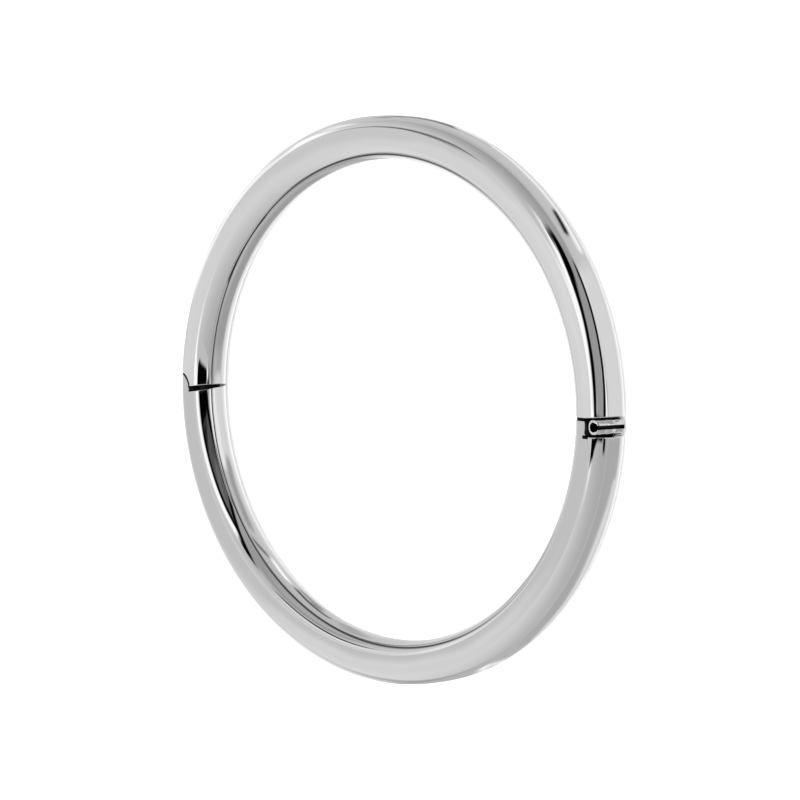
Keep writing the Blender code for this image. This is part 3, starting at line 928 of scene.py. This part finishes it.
def make_upper_half(silver, dark, dull, inside):
    """Upper half with its slot for the tongue, stop pad and two outer knuckles."""
    flats = beside_tab(BAND_THICKNESS / 2 - TAB_DEPTH - TAB_GAP, SCOOP_LINES)
    polished = out_at(PIN_X + POLISH_START, UPPER_HINGE_Y)
    flats += [out_at(NOTCH_X, UPPER_HINGE_Y), polished]
    hinge = Level(hinge_upper, True, polished - ON_SKIN)
    clasp = Level(clasp_upper, True)
    upper = band("upper_half_skin", flats, hinge, 0.0, clasp, math.pi, [silver, dull, inside])
    low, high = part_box("clasp_tongue")
    slot_low = (low.x - SLOT_GAP, CLASP_PARTING_Y - CUT_OVER, low.z - SLOT_GAP)
    slot_high = (high.x + SLOT_GAP, CLASP_PARTING_Y + SLOT_DEPTH, high.z + SLOT_GAP)
    cut(upper, plain_box("upper_slot", slot_low, slot_high))
    set_skin_normals(upper)
    reach = UPPER_HINGE_Y - PIN_Y + WEB_DEPTH
    pieces = [upper, stop_pad("upper_stop", UPPER_HINGE_Y, 0.0, dark)]
    for index in range(0, KNUCKLE_COUNT, 2):
        pieces += knuckle("upper", index, math.pi / 2, reach, silver, dark)
    return pieces


def make_lower_half(silver, dark, dull, inside):
    """Lower half with its tab, notch, stop pad and middle knuckle."""
    polished = out_at(PIN_X + POLISH_START, NOTCH_Y)
    flats = [out_at(NOTCH_X, LOWER_HINGE_Y), out_at(NOTCH_X, NOTCH_Y), polished]
    flats += beside_tab(BAND_THICKNESS / 2 - TAB_DEPTH, TAB_LINES)
    clasp = Level(clasp_lower, False)
    hinge = Level(hinge_lower, False, polished - ON_SKIN)
    lower = band("lower_half_skin", flats, clasp, math.pi, hinge, 2 * math.pi, [silver, dull, inside])
    left = NOTCH_X - RELIEF_REACH
    bottom = NOTCH_Y - RELIEF_DEPTH
    relief_low = (left, bottom, cad_low.z - CUT_OVER)
    relief_high = (left + RELIEF_WIDTH, bottom + RELIEF_HEIGHT, cad_high.z + CUT_OVER)
    cut(lower, plain_box("relief", relief_low, relief_high))
    set_skin_normals(lower)
    reach = PIN_X - NOTCH_X + WEB_DEPTH
    pieces = [lower, stop_pad("lower_stop", LOWER_HINGE_Y, 2 * math.pi, dark)]
    return pieces + knuckle("lower", 1, math.pi, reach, silver, dark)


def make_pin(dark):
    """Pin with a low dome at each end, sunk a little in the barrel."""
    half = BAND_WIDTH / 2 - BARREL_END_INSET - PIN_SUNK
    dome = []
    for step in range(DOME_STEPS + 1):
        angle = math.pi / 2 * step / DOME_STEPS
        dome.append((PIN_RADIUS * math.sin(angle), half - PIN_DOME * (1 - math.cos(angle))))
    dome[0] = (0.0, half)
    profile = dome + [(radius, -height) for radius, height in reversed(dome)]
    return lathe("hinge_pin_rod", profile, [dark])


def make_tongue(dull):
    """Tongue of the clasp, the size of its solid, with eased edges."""
    low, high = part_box("clasp_tongue")
    tongue = plain_box("clasp_tongue_plate", low, high)
    tongue.data.materials.append(dull)
    for face in tongue.data.polygons:
        face.material_index = 0
    modifier = tongue.modifiers.new("eased edges", "BEVEL")
    modifier.width = TONGUE_EASE
    modifier.segments = TONGUE_EASE_STEPS
    smooth(tongue)
    return tongue


def dress(pieces, body, node):
    """Put pieces on a body in place of its CAD node."""
    for piece in pieces:
        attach(piece, body)
        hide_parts(node)


# Studio

def view_axes():
    """Turn from the bangle's axes to right, up and towards the viewer in the photograph."""
    turn = Matrix.Rotation(VIEW_TURN, 3, "Y")
    tilt = Matrix.Rotation(VIEW_TILT, 3, "X")
    roll = Matrix.Rotation(VIEW_ROLL, 3, "Z")
    return roll @ tilt @ turn


def make_camera():
    """Camera with the photograph's view of the bangle."""
    axes = view_axes().transposed()
    centre = Vector((0.0, 0.0, MID_Z))
    location = centre + axes @ Vector((-VIEW_ASIDE.x, -VIEW_ASIDE.y, VIEW_DISTANCE))
    lens = bpy.data.cameras.new("camera")
    lens.sensor_width = SENSOR_WIDTH
    lens.lens = LENS
    lens.clip_start = CLIP_START
    lens.clip_end = CLIP_END
    camera = bpy.data.objects.new("camera", lens)
    camera.matrix_world = Matrix.Translation(location) @ axes.to_4x4()
    bpy.context.scene.collection.objects.link(camera)
    bpy.context.scene.camera = camera


def light_of(grey):
    """Strength of light that polished silver shows as a grey of 0 to 255, by the screen's usual curve."""
    return ((grey / 255 + 0.055) / 1.055) ** 2.4 / SILVER_GREY


class Surroundings:
    """Map of directions, in degrees to the right of and above the photograph's viewpoint.

    That viewpoint is fixed to the bangle's axes, so the map stays where it is when the camera moves.
    """

    def __init__(self, nodes, direction):
        self.nodes = nodes
        right, up, front = (nodes.dot(direction, row) for row in view_axes())
        square = nodes.math("MULTIPLY", front, front)
        sine = nodes.math("SQRT", nodes.math("MAXIMUM", nodes.math("SUBTRACT", 1.0, square), TINY))
        away = nodes.math("MULTIPLY", nodes.math("ARCCOSINE", front), 180.0 / math.pi)
        scale = nodes.math("DIVIDE", away, sine)
        self.across = nodes.math("MULTIPLY", right, scale)
        self.height = nodes.math("MULTIPLY", up, scale)
        spot = nodes.node("ShaderNodeCombineXYZ")
        nodes.put(spot.inputs["X"], self.across)
        nodes.put(spot.inputs["Y"], self.height)
        self.spot = spot.outputs[0]

    def vector(self, operation, first, second):
        """Result of one operation on two vectors."""
        made = self.nodes.node("ShaderNodeVectorMath", operation=operation)
        self.nodes.put(made.inputs[0], first)
        self.nodes.put(made.inputs[1], second)
        return made.outputs[0]

    def stripe(self, corners, half_width, softness):
        """1 along a bent line and 0 away from it."""
        nearest = FAR_AWAY
        for (x, y), (next_x, next_y) in zip(corners, corners[1:]):
            step = Vector((next_x - x, next_y - y, 0.0))
            offset = self.vector("SUBTRACT", self.spot, (x, y, 0.0))
            share = self.nodes.clamp(self.nodes.dot(offset, step / step.length_squared))
            scaled = self.nodes.node("ShaderNodeVectorMath", operation="SCALE")
            scaled.inputs[0].default_value = step
            self.nodes.put(scaled.inputs["Scale"], share)
            apart = self.nodes.node("ShaderNodeVectorMath", operation="DISTANCE")
            self.nodes.put(apart.inputs[0], offset)
            self.nodes.put(apart.inputs[1], scaled.outputs[0])
            nearest = self.nodes.math("MINIMUM", apart.outputs["Value"], nearest)
        return self.nodes.step(nearest, half_width + softness, half_width - softness)

    def beyond(self, start, end, softness):
        """1 on the right of the line from start to end and 0 on its left."""
        ahead = Vector((end[0] - start[0], end[1] - start[1], 0.0)).normalized()
        offset = self.vector("SUBTRACT", self.spot, (*start, 0.0))
        return self.nodes.step(self.nodes.dot(offset, (ahead.y, -ahead.x, 0.0)), -softness, softness)

    def paint(self, shade, cards):
        """The shade with cards laid over it, each over those before it."""
        for corners, half_width, softness, grey, strength in cards:
            mask = self.stripe(corners, half_width, softness)
            shade = self.nodes.cover(shade, mask, light_of(grey), strength)
        return shade

    def oval(self, middle, reach):
        """0 at the middle, 1 on the oval and more outside it."""
        offset = self.vector("SUBTRACT", self.spot, (*middle, 0.0))
        offset = self.vector("MULTIPLY", offset, (1 / reach[0], 1 / reach[1], 0.0))
        made = self.nodes.node("ShaderNodeVectorMath", operation="LENGTH")
        self.nodes.put(made.inputs[0], offset)
        return made.outputs["Value"]

    def wash(self, even, across, height, across_square, product, height_square):
        """Shade that changes slowly over the map, with its slopes and curves given per wash unit."""
        nodes = self.nodes
        x = nodes.math("MULTIPLY", self.across, 1 / WASH_UNIT)
        y = nodes.math("MULTIPLY", self.height, 1 / WASH_UNIT)
        by_x = nodes.math("MULTIPLY_ADD", x, across_square, nodes.math("MULTIPLY_ADD", y, product, across))
        by_y = nodes.math("MULTIPLY_ADD", y, height_square, height)
        shade = nodes.math("MULTIPLY_ADD", x, by_x, nodes.math("MULTIPLY_ADD", y, by_y, even))
        return nodes.math("MAXIMUM", shade, DIMMEST_WASH)


def make_light():
    """Even light on whatever is not polished. The polished pieces mirror a light tent instead."""
    world = bpy.data.worlds.new("even_light")
    bpy.context.scene.world = world
    world.use_nodes = True
    world.cycles.sampling_method = "NONE"
    nodes = Maths(world.node_tree)
    even = world.node_tree.nodes["Background"]
    even.inputs["Color"].default_value = (1.0, 1.0, 1.0, 1.0)
    mirrored = nodes.node("ShaderNodeLightPath").outputs["Is Glossy Ray"]
    nodes.put(even.inputs["Strength"], nodes.math("MULTIPLY_ADD", mirrored, -EVEN_LIGHT, EVEN_LIGHT))


def make_tent(name, view, radius, pieces):
    """Light tent all round, as the pieces of one half see it. It lights only them."""
    material = bpy.data.materials.new(name)
    material.use_nodes = True
    nodes = Maths(material.node_tree)
    material.node_tree.nodes.remove(material.node_tree.nodes["Principled BSDF"])
    direction = nodes.node("ShaderNodeVectorMath", operation="NORMALIZE")
    nodes.put(direction.inputs[0], nodes.node("ShaderNodeTexCoord").outputs["Object"])
    around = Surroundings(nodes, direction.outputs[0])

    # Tent inside the rim, backdrop outside it, and the cards over both
    past_rim = nodes.step(around.oval(TENT_MIDDLE, TENT_REACH), *TENT_RIM)
    shade = nodes.mix(past_rim, around.wash(*TENT_WASH), around.wash(*BACKDROP_WASH))
    glow = nodes.node("ShaderNodeEmission")
    nodes.put(glow.inputs["Strength"], around.paint(shade, BOTH_VIEWS + view))

    # The transparent part lets a ray that should miss this tent go on
    both = nodes.node("ShaderNodeAddShader")
    nodes.put(both.inputs[0], glow.outputs[0])
    nodes.put(both.inputs[1], nodes.node("ShaderNodeBsdfTransparent").outputs[0])
    nodes.put(material.node_tree.nodes["Material Output"].inputs["Surface"], both.outputs[0])
    material.cycles.emission_sampling = "NONE"

    bm = bmesh.new()
    bmesh.ops.create_uvsphere(bm, u_segments=TENT_SIDES, v_segments=TENT_SIDES // 2, radius=radius)
    tent = object_of(name, bm, [material])
    tent.visible_camera = False
    tent.visible_diffuse = False
    tent.visible_transmission = False
    tent.visible_volume_scatter = False
    tent.visible_shadow = False
    lit = bpy.data.collections.new(name + "_lights")
    for piece in pieces:
        lit.objects.link(piece)
    tent.light_linking.receiver_collection = lit


def make_floor():
    """Plain pale floor under the bangle, which the silver doesn't mirror."""
    material = new_material("pale_floor", grey_of(FLOOR_GREY), 0.0, FLOOR_ROUGHNESS)[0]
    bm = bmesh.new()
    bmesh.ops.create_circle(bm, cap_ends=True, radius=FLOOR_RADIUS, segments=FLOOR_SIDES)
    floor = object_of("floor", bm, [material])
    floor.location.z = cad_low.z
    floor.visible_glossy = False


def main():
    """Make the bangle and its studio."""
    bpy.context.scene.view_settings.view_transform = "Standard"
    silver = polished_silver("polished_silver")
    # The gap and end-face materials are near-black painted shade, mottled like tarnish
    dark = tarnished_silver("tarnished_silver", *GAP_TARNISH_AND_PAINTED_SHADE)
    dull = tarnished_silver("dull_silver", *END_FACE_TARNISH_AND_PAINTED_SHADE)
    # Silver of the inside, with a painted reflection line round the inner edge
    inside = hairlined_silver("hairlined_silver")
    upper = make_upper_half(silver, dark, dull, inside)
    lower = make_lower_half(silver, dark, dull, inside)
    dress(upper, "upper", "upper_half")
    dress(lower, "lower", "lower_half")
    pin = make_pin(dark)
    tongue = make_tongue(dull)
    dress([pin], "lower", "hinge_pin")
    dress([tongue], "lower", "clasp_tongue")
    make_camera()
    make_light()
    make_tent("tent_upper", UPPER_VIEW, TENT_RADII[0], upper)
    make_tent("tent_lower", LOWER_VIEW, TENT_RADII[1], lower + [pin, tongue])
    make_floor()


main()
